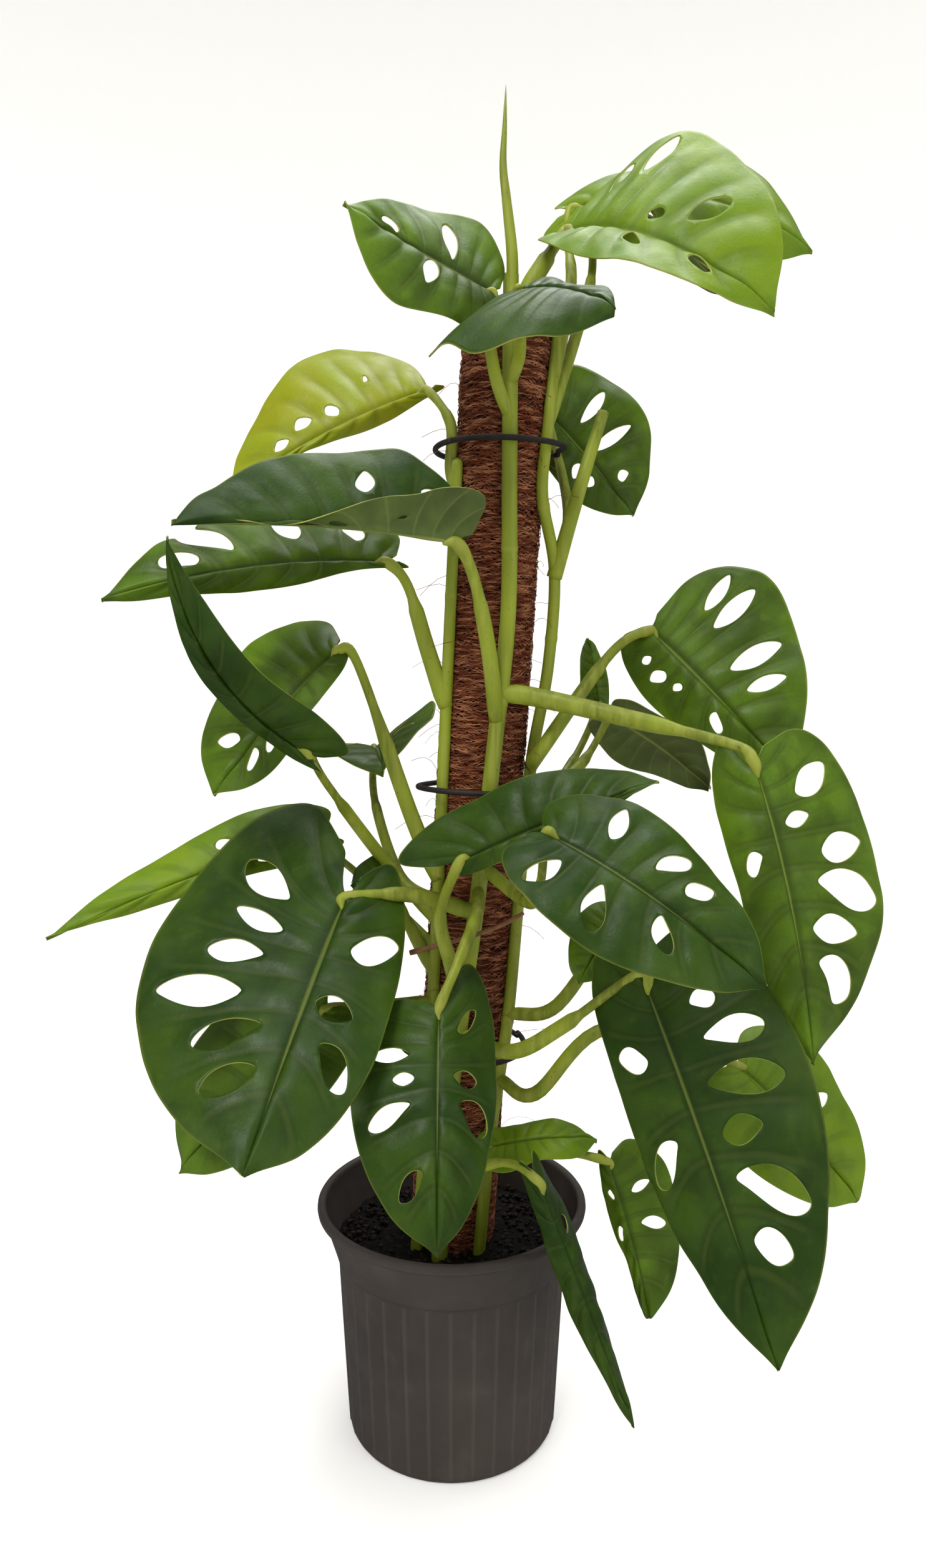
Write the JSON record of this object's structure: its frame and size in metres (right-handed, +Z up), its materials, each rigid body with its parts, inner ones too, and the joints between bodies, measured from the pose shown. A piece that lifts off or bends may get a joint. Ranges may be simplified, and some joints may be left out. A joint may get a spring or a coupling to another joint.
{
  "type": "potted monstera plant",
  "caption": "Climbing monstera with perforated oval leaves on long stalks, trained up a leaning coir pole in a ribbed round nursery pot of dark soil.",
  "frame": {"origin": "centre of the pot's underside, on the surface it stands on", "axes": "+Z up, front of the plant towards -Y, +X to the viewer's right, where the tallest leaves lean"},
  "size_m": [0.6847, 0.3776, 1.1302],
  "materials": {
    "pot_plastic": "satin",
    "soil": "matte",
    "coir": "matte",
    "core_plastic": "matte",
    "stem": "satin",
    "leaf": "satin",
    "pale_leaf": "satin",
    "cut_stalk": "matte",
    "root": "matte",
    "tie": "matte"
  },
  "bodies": {
    "root": {"nursery_pot": "pot_plastic", "potting_soil": "soil", "coir_sleeve": "coir", "pole_core": "core_plastic", "vine_front": "stem", "vine_right": "stem", "vine_left": "stem", "leaf_crown_right": "leaf", "leaf_crown_right_back": "leaf", "leaf_crown_right_low": "leaf", "leaf_crown_left": "leaf", "leaf_crown_front": "leaf", "leaf_left_yellow": "pale_leaf", "leaf_back_right": "leaf", "leaf_left_folded": "leaf", "leaf_left_pale": "leaf", "leaf_left_twisted": "leaf", "leaf_left_hanging": "leaf", "leaf_left_back": "leaf", "leaf_left_low_back": "leaf", "leaf_left_big": "leaf", "leaf_left_far": "pale_leaf", "leaf_left_behind": "leaf", "leaf_centre_front": "leaf", "leaf_centre_right": "leaf", "leaf_right_dark": "leaf", "leaf_right_upper": "leaf", "leaf_right_big": "leaf", "leaf_right_huge": "leaf", "leaf_right_low_back": "pale_leaf", "leaf_right_back": "leaf", "leaf_right_young": "leaf", "leaf_rim_front": "leaf", "leaf_rim_right": "leaf", "leaf_rim_yellow": "pale_leaf", "leaf_right_mid_back": "leaf", "new_leaf_spike": "pale_leaf", "cut_stalk": "cut_stalk", "tie_top": "tie", "tie_middle": "tie", "tie_low": "tie", "aerial_root": "root"}
  },
  "joints": []
}
